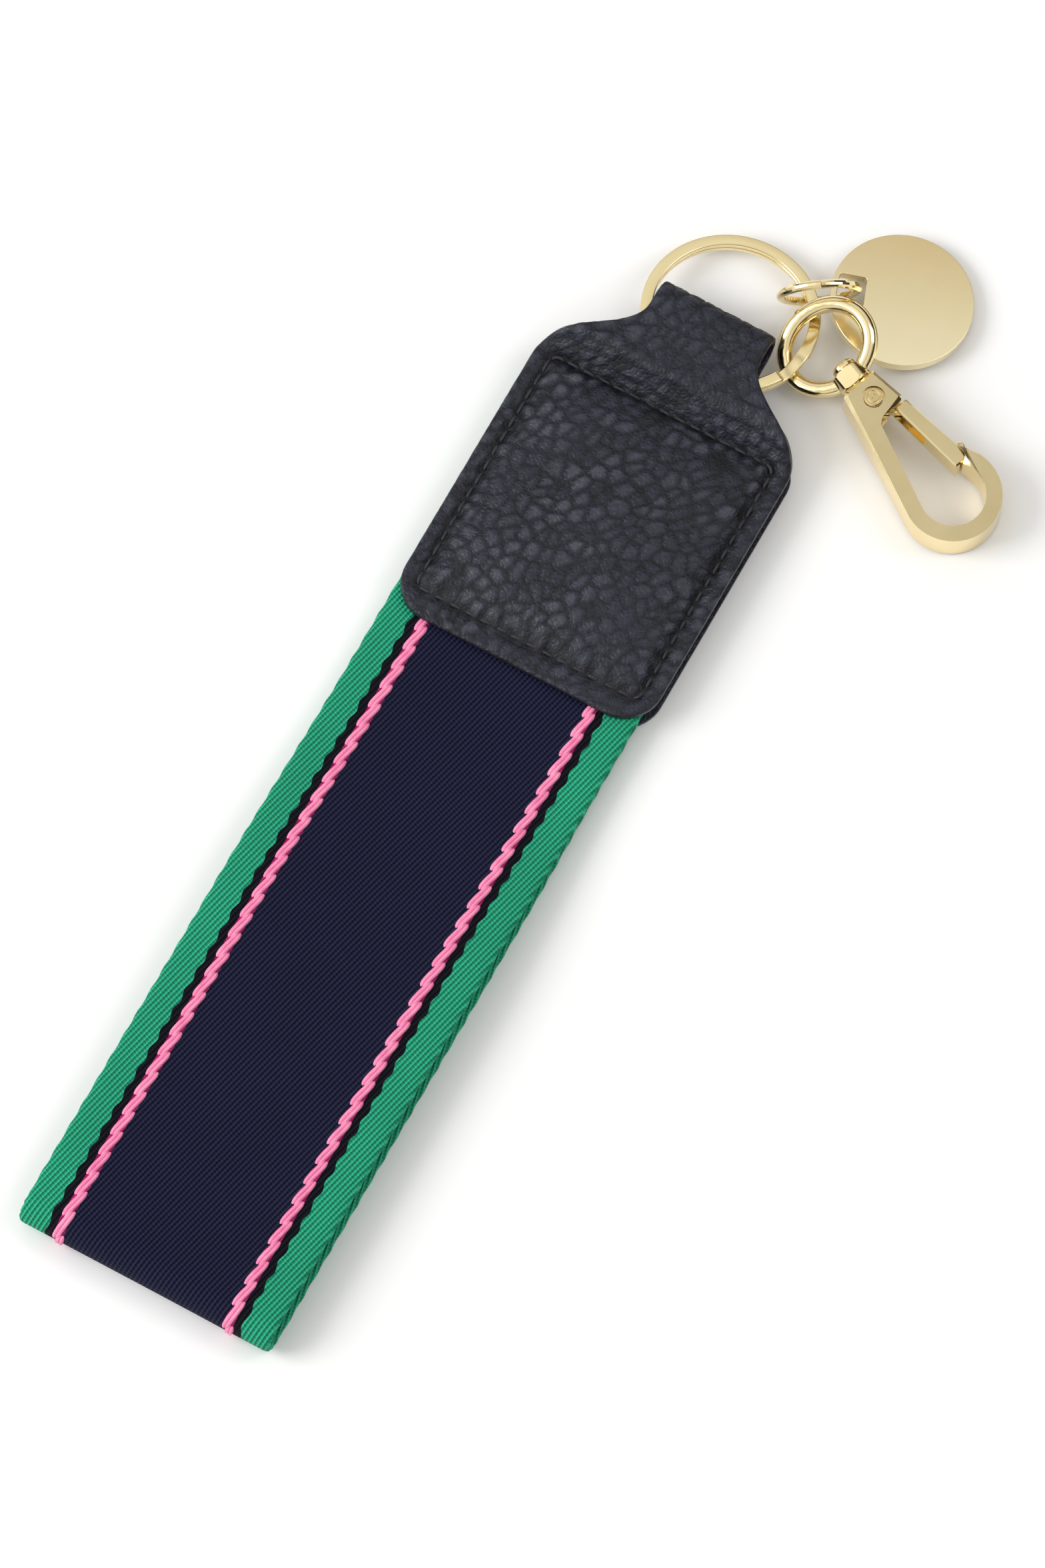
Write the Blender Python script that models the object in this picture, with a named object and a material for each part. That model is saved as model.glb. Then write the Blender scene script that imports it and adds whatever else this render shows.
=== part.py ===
"""Wristlet keychain: a folded webbing wrist loop sewn into a padded leather tab, whose folded
neck holds a flat split ring with a disc charm on a jump ring and a swivelling gate clasp.

Metres, +Z up. The tab lies on its back face at Z = 0, the strap runs towards -Y and the
metalwork towards +Y. The origin is the middle of the tab's width on that back face.
"""

import math

import bmesh
import bpy
from mathutils import Matrix, Vector

MM = 0.001

# Shared clearances
GAP = 0.3 * MM
THROUGH = 1.0 * MM

# Webbing
WEB_WIDTH = 50.0 * MM
WEB_THICKNESS = 1.6 * MM
WEB_X = -0.9 * MM
LOOP_LENGTH = 125.5 * MM
LOOP_OPEN_GAP = 4.7 * MM
LOOP_OPEN_AT = 62.0 * MM
LOOP_SPLIT_AT = 12.0 * MM
FLEX_REACH = 6.0 * MM
TAIL_INSET = 2.5 * MM

# Leather tab
LEATHER = 1.4 * MM
TAB_WIDTH = 51.8 * MM
TAB_FOLD_Y = 44.7 * MM
TAB_LENGTH = 77.0 * MM
TAB_CORNER = 7.5 * MM
NECK_WIDTH = 22.6 * MM
SHOULDER_MIDDLE = 14.4 * MM
SHOULDER_LENGTH = 18.5 * MM
NECK_HEIGHT = 7.0 * MM
TUNNEL = 5.2 * MM

# Seam and padding
SEAM_SIDE_MARGIN = 3.3 * MM
SEAM_END_MARGIN = 4.9 * MM
SEAM_FROM_FOLD = 21.7 * MM
SEAM_CORNER = 1.6 * MM
THREAD = 0.6 * MM
PAD_RISE = 2.5 * MM
PAD_SIDE_INSET = 4.1 * MM
PAD_END_INSET = 4.8 * MM

# Flat split ring
RING_OUTER = 16.2 * MM
RING_BAND = 2.1 * MM
RING_COIL = 1.05 * MM
RING_COIL_GAP = 0.1 * MM
RING_STEP_ANGLE = math.radians(26)
RING_X = 1.5 * MM
RING_TILT = math.radians(9.5)
RING_REACH_IN = 15.45 * MM
RING_NEAR_RISE = 0.83 * MM

# Jump ring
JUMP_RADIUS = 6.95 * MM
JUMP_WIRE = 1.6 * MM
JUMP_SPLIT = 0.12 * MM
JUMP_ON_RING = math.radians(44.95)
JUMP_ROOM = 0.57 * MM
JUMP_FROM_RING = Vector((1.538, 0.149, 4.309))
JUMP_TURN = math.radians(34.5)
JUMP_LEAN = math.radians(10)

# Disc charm
DISC_RADIUS = 13.0 * MM
DISC_THICKNESS = 2.0 * MM
DISC_CHAMFER = 0.3 * MM
DISC_ON_JUMP = math.radians(-36.7)
DISC_TILT = math.radians(7)
DISC_TILT_TURN = math.radians(60)
SLOT_TURN = math.radians(199.6)
SLOT_FROM_CENTRE = 9.3 * MM
SLOT_RADIAL = 5.0 * MM
SLOT_ACROSS = 6.0 * MM
SLOT_PLAY = Vector((-0.18, -0.486, 0)) * MM

# Clasp
EYE_ON_RING = math.radians(4.1)
EYE_ROOM = 1.01 * MM
EYE_FROM_RING = Vector((3.106, 1.659, 1.105))
CLASP_TURN = math.radians(-23.5)
CLASP_PITCH = math.radians(3.1)
EYE_ROLL = math.radians(24)
EYE_LONG = 8.3 * MM
EYE_SHORT = 7.25 * MM
EYE_WIRE = 3.0 * MM
BARREL_RADIUS = 3.3 * MM
BARREL_PROUD = 0.2 * MM
BARREL_CHAMFER = 0.4 * MM
BARREL_FLAT = 2.8 * MM
PIN_RADIUS = 1.25 * MM
PIN_HEAD_RADIUS = 2.3 * MM
PIN_HEAD_HEIGHT = 1.5 * MM
PLATE = 7.0 * MM
PLATE_CHAMFER = 0.65 * MM
HEAD_TOP = 4.0 * MM
HEAD_HALF = 3.1 * MM
HEAD_BOTTOM = 3.3 * MM
HEAD_SHOULDER = 4.3 * MM
BOW_CENTRE = 22.8 * MM
BOW_OUTER = 8.95 * MM
BOW_BAND = 2.9 * MM
SPINE_SPLAY = math.radians(10.5)
NOSE_SPLAY = math.radians(19)
NOSE_END = 19.3 * MM
LIP_END = 15.7 * MM
LIP_INSIDE = 6.75 * MM
CHEEK = 1.9 * MM
RIVET_RADIUS = 0.8 * MM
RIVET_HEAD_RADIUS = 1.75 * MM
RIVET_HEAD = 0.5 * MM
GATE_THICKNESS = 5.4 * MM
GATE_WIDTH = 2.6 * MM
GATE_START = 3.8 * MM
GATE_START_OUT = 4.6 * MM
GATE_WALL = 1.0 * MM
GATE_FLANGE = 0.9 * MM
GATE_CHANNEL_END = 11.3 * MM
TAIL_RADIUS = 1.7 * MM
SPRING_WIRE = 0.3 * MM
SPRING_TURNS = 2.25

# What follows from them
SOLE = WEB_THICKNESS * 2 + GAP * 2
FRONT_INNER = LEATHER + SOLE
FRONT_TOP = FRONT_INNER + LEATHER
TAB_HALF = TAB_WIDTH / 2
BARREL_LENGTH = EYE_WIRE + BARREL_PROUD * 2
TAB_BOTTOM_Y = TAB_FOLD_Y - TAB_LENGTH
SEAM_HALF = TAB_HALF - SEAM_SIDE_MARGIN
SEAM_LOW_Y = TAB_BOTTOM_Y + SEAM_END_MARGIN
SEAM_HIGH_Y = TAB_FOLD_Y - SEAM_FROM_FOLD
SEAM_LENGTH = SEAM_HIGH_Y - SEAM_LOW_Y
FOLD_RADIUS = (TUNNEL + LEATHER) / 2
FOLD_CENTRE_Y = TAB_FOLD_Y - FOLD_RADIUS - LEATHER / 2
TAIL_TOP_Y = SEAM_HIGH_Y - TAIL_INSET
KNUCKLE = SOLE / 2 - GAP
FLEX_Y = TAB_BOTTOM_Y - FLEX_REACH
FLEX_Z = LEATHER + SOLE / 2
RAMP_START_Y = SEAM_HIGH_Y + THREAD * 1.5
RING_NEAR_Y = TAB_FOLD_Y - RING_REACH_IN
RING_MEAN = RING_OUTER - RING_BAND / 2
RING_HEIGHT = NECK_HEIGHT + RING_NEAR_RISE - RING_MEAN * math.sin(RING_TILT)
RING_CENTRE = Vector((RING_X, RING_NEAR_Y + RING_OUTER * math.cos(RING_TILT), RING_HEIGHT))


def material(name, colour, roughness, metallic=0.0):
    made = bpy.data.materials.new(name)
    made.use_nodes = True
    shader = made.node_tree.nodes["Principled BSDF"]
    shader.inputs["Base Color"].default_value = (*colour, 1.0)
    shader.inputs["Roughness"].default_value = roughness
    shader.inputs["Metallic"].default_value = metallic
    return made


def add(name, bm, finish, frame=None):
    """Turns a bmesh into an object, placed by the empty or matrix that it is given."""
    bmesh.ops.recalc_face_normals(bm, faces=bm.faces)
    mesh = bpy.data.meshes.new(name)
    bm.to_mesh(mesh)
    bm.free()
    mesh.shade_smooth()
    mesh.set_sharp_from_angle(angle=math.radians(35))
    made = bpy.data.objects.new(name, mesh)
    bpy.context.scene.collection.objects.link(made)
    if finish is not None:
        made.data.materials.append(finish)
    if frame is not None:
        made.parent = frame
    return made


def empty(name, centre, along, across):
    """A guide frame with X along and Y across, square to each other."""
    x = along.normalized()
    z = x.cross(across).normalized()
    y = z.cross(x)
    made = bpy.data.objects.new(name, None)
    turn = Matrix((x, y, z)).transposed().to_4x4()
    made.matrix_world = Matrix.Translation(centre) @ turn
    bpy.context.scene.collection.objects.link(made)
    return made


def cut(target, cutter, operation="DIFFERENCE"):
    cutter.hide_render = True
    cutter.display_type = "WIRE"
    step = target.modifiers.new(cutter.name, "BOOLEAN")
    step.operation = operation
    step.object = cutter
    step.solver = "EXACT"


def loft(rings, closed=False):
    """Closed rings of points joined in order, with end faces unless the last ring meets the first."""
    bm = bmesh.new()
    rows = [[bm.verts.new(point) for point in ring] for ring in rings]
    count = len(rows[0])
    pairs = list(zip(rows, rows[1:]))
    if closed:
        pairs.append((rows[-1], rows[0]))
    for lower, upper in pairs:
        for i in range(count):
            j = (i + 1) % count
            bm.faces.new((lower[i], lower[j], upper[j], upper[i]))
    if not closed:
        bm.faces.new(rows[0][::-1])
        bm.faces.new(rows[-1])
    return bm


def prism(outline, low, high, chamfer=0.0):
    """An outline in X and Y, raised from low to high, with its rims chamfered."""
    bm = loft([[(x, y, z) for x, y in outline] for z in (low, high)])
    if chamfer:
        rims = [e for e in bm.edges if abs(e.verts[0].co.z - e.verts[1].co.z) < 1e-9]
        bmesh.ops.bevel(bm, geom=rims, offset=chamfer, segments=1, affect="EDGES")
    return bm


def turned(profile, segments):
    """A profile of (distance along X, radius) turned round X."""
    rings = []
    for along, radius in profile:
        angles = [2 * math.pi * i / segments for i in range(segments)]
        rings.append([(along, radius * math.cos(a), radius * math.sin(a)) for a in angles])
    return loft(rings)


def tube(path, radius, sides, closed=False):
    """A round tube along a path, its sections turned as little as possible."""
    points = [Vector(p) for p in path]
    count = len(points)
    rings = []
    side = None
    for i, point in enumerate(points):
        ahead = points[(i + 1) % count] if closed or i + 1 < count else point
        behind = points[i - 1] if closed or i > 0 else point
        along = (ahead - behind).normalized()
        if side is None:
            side = along.orthogonal()
        side = (side - along * side.dot(along)).normalized()
        up = along.cross(side)
        angles = [2 * math.pi * k / sides for k in range(sides)]
        rings.append([point + (side * math.cos(a) + up * math.sin(a)) * radius for a in angles])
    return loft(rings, closed)


def arc(centre, radius, start, end, steps):
    """Points from one angle to another, both included."""
    turns = [start + (end - start) * i / steps for i in range(steps + 1)]
    return [(centre[0] + radius * math.cos(a), centre[1] + radius * math.sin(a)) for a in turns]


def rounded_box(half_x, low_y, high_y, corner, steps=4):
    """A rectangle in X and Y about X = 0, with round corners."""
    inner_x = half_x - corner
    points = []
    for i, (x, y) in enumerate(((inner_x, high_y - corner), (-inner_x, high_y - corner),
                                (-inner_x, low_y + corner), (inner_x, low_y + corner))):
        points += arc((x, y), corner, i * math.pi / 2, (i + 1) * math.pi / 2, steps)
    return points


def ease(share):
    share = min(1.0, max(0.0, share))
    return share ** 3 * (share * (6 * share - 15) + 10)


# ---------------------------------------------------------------- leather, padding, thread


def half_width(y):
    """Half the tab's width: narrow at the neck, swelling over the shoulders, round at the foot."""
    from_fold = TAB_FOLD_Y - y
    swell = ease((from_fold - SHOULDER_MIDDLE) / SHOULDER_LENGTH + 0.5)
    half = NECK_WIDTH / 2 + (TAB_HALF - NECK_WIDTH / 2) * swell
    above_foot = y - TAB_BOTTOM_Y
    if above_foot < TAB_CORNER:
        inward = TAB_CORNER - above_foot
        half -= TAB_CORNER - math.sqrt(max(0.0, TAB_CORNER ** 2 - inward ** 2))
    return half


def padding(x, y):
    """How far the pad lifts the front leather."""
    middle = (SEAM_LOW_Y + SEAM_HIGH_Y) / 2
    across = abs(x) / SEAM_HALF
    along = abs(y - middle) / (SEAM_LENGTH / 2)
    if across >= 1 or along >= 1:
        return 0.0
    return PAD_RISE * (1 - across ** 4) * (1 - along ** 4)


def panel_stations():
    """Y positions of the flat panels, from the foot to where the fold begins."""
    foot = [TAB_BOTTOM_Y + TAB_CORNER * (1 - math.cos(math.radians(a))) for a in (6, 22, 40, 58, 75)]
    body = [SEAM_LOW_Y + SEAM_LENGTH * share for share in (0.12, 0.3, 0.5, 0.7, 0.85, 0.94)]
    ramp_span = RING_NEAR_Y - RAMP_START_Y
    ramp = [RAMP_START_Y + ramp_span * share for share in (0, 0.2, 0.4, 0.6, 0.8, 1.0)]
    neck = [RING_NEAR_Y + (FOLD_CENTRE_Y - RING_NEAR_Y) * share for share in (0.3, 0.6, 0.85)]
    return sorted(foot + [SEAM_LOW_Y] + body + [SEAM_HIGH_Y] + ramp + neck)


def neck_lift(y, reach):
    """How far along its rise from the flat tab to the raised neck a panel is."""
    return ease((y - RAMP_START_Y) / reach)


def leather_path():
    """(y, z, normal y, normal z, front) along the leather's middle, from back foot to front foot."""
    back_rise = NECK_HEIGHT - FOLD_RADIUS - LEATHER / 2
    front_rise = NECK_HEIGHT + FOLD_RADIUS - (FRONT_TOP - LEATHER / 2)
    stations = panel_stations()
    path = []
    for y in stations:
        reach = (RING_NEAR_Y - RAMP_START_Y) * 1.5
        path.append((y, LEATHER / 2 + back_rise * neck_lift(y, reach), 0.0, -1.0, False))
    for i in range(9):
        turn = math.radians(-90 + 180 * i / 8)
        y = FOLD_CENTRE_Y + FOLD_RADIUS * math.cos(turn)
        z = NECK_HEIGHT + FOLD_RADIUS * math.sin(turn)
        path.append((y, z, math.cos(turn), math.sin(turn), False))
    for y in reversed(stations):
        lift = neck_lift(y, RING_NEAR_Y - RAMP_START_Y)
        path.append((y, FRONT_TOP - LEATHER / 2 + front_rise * lift, 0.0, 1.0, True))
    return path


def leather_tab(finish):
    """One strip of leather, cut like an hourglass and folded over at its neck."""
    seam_share = SEAM_HALF / TAB_HALF
    shares = [-1, -0.94, -seam_share, -0.78, -0.6, -0.3, 0, 0.3, 0.6, 0.78, seam_share, 0.94, 1]
    bm = bmesh.new()
    rows = []
    for y, z, ny, nz, front in leather_path():
        skins = []
        for side in (0.5, -0.5):
            row = []
            for share in shares:
                x = half_width(y) * share
                lift = padding(x, y) if front else 0.0
                offset = LEATHER * side
                row.append(bm.verts.new((x, y + ny * offset, z + nz * offset + lift)))
            skins.append(row)
        rows.append(skins)
    last = len(shares) - 1
    for lower, upper in zip(rows, rows[1:]):
        for skin in (0, 1):
            for i in range(last):
                bm.faces.new((lower[skin][i], lower[skin][i + 1], upper[skin][i + 1], upper[skin][i]))
        for i in (0, last):
            bm.faces.new((lower[0][i], upper[0][i], upper[1][i], lower[1][i]))
    for ends in (rows[0], rows[-1]):
        for i in range(last):
            bm.faces.new((ends[0][i], ends[0][i + 1], ends[1][i + 1], ends[1][i]))
    tab = add("leather_tab", bm, finish)
    groove_depth = THREAD / 2 + GAP
    cut(tab, seam_groove("front_groove", FRONT_TOP - groove_depth, FRONT_TOP + PAD_RISE))
    cut(tab, seam_groove("back_groove", -THROUGH, THREAD + GAP))
    return tab


def seam_groove(name, low, high):
    """The ring-shaped channel that a line of stitching sinks into."""
    reach = THREAD / 2 + GAP
    rings = []
    for side, z in ((-reach, low), (reach, low), (reach, high), (-reach, high)):
        outline = rounded_box(SEAM_HALF + side, SEAM_LOW_Y - side, SEAM_HIGH_Y + side, SEAM_CORNER + side)
        rings.append([(x, y, z) for x, y in outline])
    return add(name, loft(rings, closed=True), None)


def seam_thread(name, height, finish):
    outline = rounded_box(SEAM_HALF, SEAM_LOW_Y, SEAM_HIGH_Y, SEAM_CORNER)
    add(name, tube([(x, y, height) for x, y in outline], THREAD / 2, 6, closed=True), finish)


def foam_pad(finish):
    """A thin pad on the webbing, as deep as the room under the front leather."""
    half_x = SEAM_HALF - PAD_SIDE_INSET
    low_y = SEAM_LOW_Y + PAD_END_INSET
    high_y = SEAM_HIGH_Y - PAD_END_INSET
    steps = 8
    bm = bmesh.new()
    skins = []
    for upper in (False, True):
        rows = []
        for j in range(steps + 1):
            y = low_y + (high_y - low_y) * j / steps
            row = []
            for i in range(steps + 1):
                x = half_x * (2 * i / steps - 1)
                rise = padding(x, y) - GAP if upper else 0.0
                row.append(bm.verts.new((x, y, FRONT_INNER + rise)))
            rows.append(row)
        skins.append(rows)
    for rows in skins:
        for j in range(steps):
            for i in range(steps):
                bm.faces.new((rows[j][i], rows[j][i + 1], rows[j + 1][i + 1], rows[j + 1][i]))
    low, high = skins
    rim = [(0, i) for i in range(steps)] + [(j, steps) for j in range(steps)]
    rim += [(steps, steps - i) for i in range(steps)] + [(steps - j, 0) for j in range(steps)]
    for (j0, i0), (j1, i1) in zip(rim, rim[1:] + rim[:1]):
        bm.faces.new((low[j0][i0], low[j1][i1], high[j1][i1], high[j0][i0]))
    add("foam_pad", bm, finish)


# ---------------------------------------------------------------- webbing


def across_strap(outline):
    """An outline in Y and Z run across the webbing's width."""
    low_x = WEB_X - WEB_WIDTH / 2
    return loft([[(low_x + side * WEB_WIDTH, y, z) for y, z in outline] for side in (0, 1)])


def strap_tails(finish):
    """Both ends of the webbing, laid together between the leathers."""
    low = LEATHER + GAP
    high = FRONT_INNER - GAP
    end = FLEX_Y + KNUCKLE + GAP
    outline = [(end, low), (TAIL_TOP_Y, low), (TAIL_TOP_Y, high), (end, high)]
    add("strap_tails", across_strap(outline), finish)


def wrist_strap(finish):
    """The webbing's loop: both layers leave the tab together and part towards the fold."""
    fold_outer = LOOP_OPEN_GAP / 2 + WEB_THICKNESS
    fold_y = FLEX_Y - LOOP_LENGTH + fold_outer
    split_y = FLEX_Y - LOOP_SPLIT_AT
    open_y = FLEX_Y - LOOP_OPEN_AT
    floor_y = (split_y + open_y) / 2

    def lower(y):
        return (FLEX_Z - KNUCKLE) * (1 - ease((FLEX_Y - y) / (FLEX_Y - floor_y)))

    def upper(y):
        rise = 2 * fold_outer - FLEX_Z - KNUCKLE
        return FLEX_Z + KNUCKLE + rise * ease((FLEX_Y - y) / (FLEX_Y - open_y))

    run = [FLEX_Y - (FLEX_Y - open_y) * i / 16 for i in range(1, 17)]
    straight = [open_y + (fold_y - open_y) * share for share in (0.5, 1.0)]
    top = [(y, upper(y)) for y in run + straight]
    bottom = [(y, lower(y)) for y in run + straight]
    knuckle = arc((FLEX_Y, FLEX_Z), KNUCKLE, -math.pi / 2, math.pi / 2, 8)
    fold = arc((fold_y, fold_outer), fold_outer, math.pi / 2, math.pi * 1.5, 10)
    outline = knuckle + top[:-1] + fold + bottom[-2::-1]
    outer = across_strap(outline)
    strap = add("wrist_strap", outer, finish)

    def roof(y):
        return upper(y) - WEB_THICKNESS

    def ground(y):
        return lower(y) + WEB_THICKNESS

    inside = [y for y in run + straight if y <= split_y]
    while roof(inside[0]) - ground(inside[0]) < GAP:
        inside.pop(0)
    hole = [(y, roof(y)) for y in inside[:-1]]
    hole += arc((fold_y, fold_outer), LOOP_OPEN_GAP / 2, math.pi / 2, math.pi * 1.5, 10)
    hole += [(y, ground(y)) for y in inside[-2::-1]]
    cutter = across_strap(hole)
    for vert in cutter.verts:
        vert.co.x += THROUGH if vert.co.x > WEB_X else -THROUGH
    cut(strap, add("loop_hollow", cutter, None))
    return strap


# ---------------------------------------------------------------- rings and charm


def key_ring(finish, frame):
    """A flat strip wound twice round, stepping from one level to the other."""
    level = (RING_COIL + RING_COIL_GAP) / 2
    steps = 90
    turns = 2 * math.pi
    bend = turns - RING_STEP_ANGLE
    angles = [bend * i / steps for i in range(steps)]
    angles += [bend + RING_STEP_ANGLE * i / 8 for i in range(8)]
    angles += [turns + bend * i / steps for i in range(steps + 1)]
    rings = []
    for angle in angles:
        height = -level + 2 * level * ease((angle - bend) / RING_STEP_ANGLE)
        out = Vector((math.cos(angle), math.sin(angle), 0))
        section = []
        for radius, side in ((RING_OUTER, -0.5), (RING_OUTER, 0.5),
                             (RING_OUTER - RING_BAND, 0.5), (RING_OUTER - RING_BAND, -0.5)):
            section.append(out * radius + Vector((0, 0, height + side * RING_COIL)))
        rings.append(section)
    add("key_ring", loft(rings), finish, frame)


def jump_ring(finish, frame):
    """Round wire bent into a circle whose ends meet at the top."""
    opening = JUMP_SPLIT / JUMP_RADIUS
    points = arc((0, 0), JUMP_RADIUS, math.pi / 2 + opening / 2, math.pi * 2.5 - opening / 2, 60)
    add("jump_ring", tube([(x, y, 0) for x, y in points], JUMP_WIRE / 2, 12), finish, frame)


def disc_charm(finish, frame):
    circle = arc((0, 0), DISC_RADIUS, 0, 2 * math.pi, 96)[:-1]
    disc = prism(circle, -DISC_THICKNESS / 2, DISC_THICKNESS / 2, DISC_CHAMFER)
    made = add("disc_charm", disc, finish, frame)
    slot = rounded_box(SLOT_RADIAL / 2, -SLOT_ACROSS / 2, SLOT_ACROSS / 2, 0.5 * MM, 2)
    slot = [(x + SLOT_FROM_CENTRE, y) for x, y in slot]
    reach = DISC_THICKNESS / 2 + THROUGH
    cut(made, add("disc_slot", prism(slot, -reach, reach), None, frame))


# ---------------------------------------------------------------- clasp


def barrel_middle():
    """Where the eye's barrel is centred, counted along the clasp from the rivet."""
    return -(HEAD_TOP + GAP + BARREL_LENGTH / 2)


def clasp_eye(finish, frame):
    """An oval wire eye cast in one with the barrel that the swivel pin turns in."""
    oval = [(EYE_SHORT * math.cos(a), EYE_LONG * math.sin(a), 0)
            for a in (2 * math.pi * i / 64 for i in range(64))]
    eye = add("clasp_eye", tube(oval, EYE_WIRE / 2, 14, closed=True), finish, frame)
    start = EYE_SHORT - BARREL_LENGTH / 2
    end = EYE_SHORT + BARREL_LENGTH / 2
    shy = BARREL_RADIUS - BARREL_CHAMFER
    barrel_profile = [(start, shy), (start + BARREL_CHAMFER, BARREL_RADIUS),
                      (end - BARREL_CHAMFER, BARREL_RADIUS), (end, shy)]
    barrel = add("barrel", turned(barrel_profile, 36), None, frame)
    cut(eye, barrel, "UNION")
    bore_radius = PIN_RADIUS + GAP
    bore = turned([(start - THROUGH * 3, bore_radius), (end + THROUGH * 3, bore_radius)], 20)
    cut(eye, add("pin_bore", bore, None, frame))
    corner = BARREL_RADIUS + THROUGH
    block = rounded_box(corner, start - THROUGH, end + THROUGH, THROUGH / 2, 1)
    block = [(y, x) for x, y in block][::-1]
    cut(eye, add("barrel_flat", prism(block, BARREL_FLAT, corner), None, frame))


def swivel_pin(finish, frame):
    """A domed pin through the barrel, its shank set in the hook's head."""
    under_head = barrel_middle() - BARREL_LENGTH / 2 - GAP
    tip = -HEAD_TOP + socket_depth() - GAP
    dome = []
    for i in range(1, 6):
        turn = math.radians(90 * i / 6)
        along = under_head - 0.4 * MM - (PIN_HEAD_HEIGHT - 0.4 * MM) * math.cos(turn)
        dome.append((along, PIN_HEAD_RADIUS * math.sin(turn)))
    profile = dome + [(under_head - 0.4 * MM, PIN_HEAD_RADIUS), (under_head, PIN_HEAD_RADIUS)]
    profile += [(under_head, PIN_RADIUS), (tip, PIN_RADIUS)]
    add("swivel_pin", turned(profile, 24), finish, frame)


def socket_depth():
    """How deep the swivel pin's shank goes into the head, stopping short of the gate's slot."""
    return HEAD_TOP - TAIL_RADIUS - 2 * GAP


def nose_out(u):
    """The outer edge of the nose, which runs straight off the bow."""
    tangent_u = BOW_CENTRE - BOW_OUTER * math.sin(NOSE_SPLAY)
    tangent_v = BOW_OUTER * math.cos(NOSE_SPLAY)
    return tangent_v - (tangent_u - u) * math.tan(NOSE_SPLAY)


def gate_out(u):
    """The gate's outer edge, from beside the head to under the lip."""
    end_v = LIP_INSIDE - GAP
    slope = (end_v - GATE_START_OUT) / (LIP_END - GATE_START)
    return min(end_v, GATE_START_OUT + slope * (u - GATE_START))


def hook_body(finish, frame):
    """The flat bow of the hook, with its head forked for the gate and its nose lipped over it."""
    bow = (BOW_CENTRE, 0)
    inner = BOW_OUTER - BOW_BAND
    spine_turn = math.pi / 2 + SPINE_SPLAY
    nose_turn = math.pi / 2 + NOSE_SPLAY
    outside = arc(bow, BOW_OUTER, -spine_turn, nose_turn, 40)
    inside = arc(bow, inner, nose_turn, -spine_turn, 32)

    def spine(u, radius):
        tangent_u = BOW_CENTRE - radius * math.sin(SPINE_SPLAY)
        return -(radius * math.cos(SPINE_SPLAY) - (tangent_u - u) * math.tan(SPINE_SPLAY))

    nose_in_u = BOW_CENTRE - inner * math.sin(NOSE_SPLAY)
    nose_in_v = inner * math.cos(NOSE_SPLAY) - (nose_in_u - NOSE_END) * math.tan(NOSE_SPLAY)
    outline = [(-HEAD_TOP, -HEAD_HALF), (-HEAD_TOP + 0.9 * MM, spine(-HEAD_TOP + 0.9 * MM, BOW_OUTER))]
    outline += outside
    outline += [(LIP_END, nose_out(LIP_END)), (LIP_END, LIP_INSIDE), (NOSE_END, LIP_INSIDE)]
    outline += [(NOSE_END, nose_in_v)] + inside
    outline += [(HEAD_BOTTOM + 1.2 * MM, spine(HEAD_BOTTOM + 1.2 * MM, inner))]
    outline += [(HEAD_BOTTOM, spine(HEAD_BOTTOM, inner) + 1.2 * MM)]
    outline += [(HEAD_BOTTOM, HEAD_SHOULDER - 0.7 * MM), (HEAD_BOTTOM - 0.6 * MM, HEAD_SHOULDER)]
    outline += [(-HEAD_TOP, HEAD_HALF)]
    half = PLATE / 2
    body = add("hook_body", prism(outline, -half, half, PLATE_CHAMFER), finish, frame)

    slot_half = half - CHEEK
    back = TAIL_RADIUS + GAP
    far = HEAD_BOTTOM + THROUGH * 3
    slot = [(far, -back)] + [(0, -back)]
    slot += arc((0, 0), back, -math.pi / 2, -math.pi, 5)[1:]
    slot += [(-back, HEAD_SHOULDER + THROUGH), (far, HEAD_SHOULDER + THROUGH)]
    cut(body, add("gate_slot", prism(slot[::-1], -slot_half, slot_half), None, frame))

    hole = RIVET_RADIUS + GAP
    well = RIVET_HEAD_RADIUS + GAP
    floor = half - RIVET_HEAD - GAP
    reach = half + THROUGH
    drill = turned([(-reach, well), (-floor, well), (-floor, hole),
                    (floor, hole), (floor, well), (reach, well)], 28)
    bmesh.ops.rotate(drill, verts=drill.verts, matrix=Matrix.Rotation(math.pi / 2, 3, "Y"))
    cut(body, add("rivet_hole", drill, None, frame))
    socket = turned([(-HEAD_TOP - THROUGH, PIN_RADIUS + GAP),
                     (-HEAD_TOP + socket_depth(), PIN_RADIUS + GAP)], 20)
    cut(body, add("pin_socket", socket, None, frame))


def gate_pin(finish, frame):
    """The rivet that the gate turns on, its heads sunk in the cheeks."""
    half = PLATE / 2
    under = half - RIVET_HEAD
    rim = 0.15 * MM
    top = half + 0.1 * MM
    dimple = [(top - 0.25 * MM, 0.3 * MM), (top, 0.5 * MM), (top, 0.95 * MM),
              (top - 0.15 * MM, 1.1 * MM), (top, 1.25 * MM)]
    profile = [(-along, radius) for along, radius in dimple]
    profile += [(-top, RIVET_HEAD_RADIUS - rim), (-top + rim, RIVET_HEAD_RADIUS)]
    profile += [(-under, RIVET_HEAD_RADIUS), (-under, RIVET_RADIUS), (under, RIVET_RADIUS)]
    profile += [(under, RIVET_HEAD_RADIUS), (top - rim, RIVET_HEAD_RADIUS)]
    profile += [(top, RIVET_HEAD_RADIUS - rim)] + dimple[::-1]
    pin = turned(profile, 24)
    bmesh.ops.rotate(pin, verts=pin.verts, matrix=Matrix.Rotation(math.pi / 2, 3, "Y"))
    add("gate_pin", pin, finish, frame)


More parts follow.
